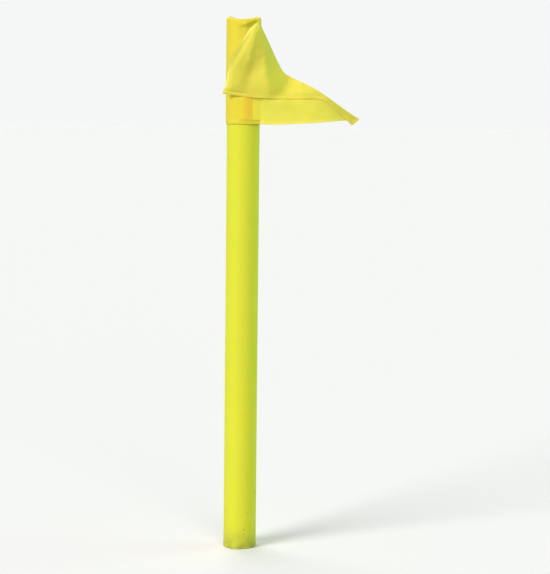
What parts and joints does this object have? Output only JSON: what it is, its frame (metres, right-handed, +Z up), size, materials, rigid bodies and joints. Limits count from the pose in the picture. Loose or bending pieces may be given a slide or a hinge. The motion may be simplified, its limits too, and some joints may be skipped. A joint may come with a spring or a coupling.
{
  "type": "corner flag post",
  "caption": "Soft round post that marks a sports field's corner: a foam core in a vinyl cover over a pipe for a ground stake, with a cloth flag whose pocket is pulled over the top.",
  "frame": {"origin": "centre of the post's foot, on the ground", "axes": "+Z up the post, +X the side the flag streams to, -Y the side its folded corner hangs on"},
  "size_m": [0.39, 0.1179, 1.5379],
  "materials": {
    "vinyl": "matte coated vinyl cloth, yellow with a green cast",
    "nylon": "thin plain-weave flag cloth, a warmer yellow than the cover",
    "foam": "closed-cell polyethylene foam, cut ends",
    "white_pipe": "extruded white pipe"
  },
  "bodies": {
    "root": {"core_pipe": "white_pipe", "foam_core": "foam", "foot_disc": "vinyl", "lid_disc": "vinyl", "post_cover": "vinyl", "cover_tape": "vinyl", "flag_pocket": "nylon", "pocket_hem": "nylon", "pocket_crest": "nylon", "flag_panel": "nylon", "flag_flap": "nylon"}
  },
  "joints": []
}
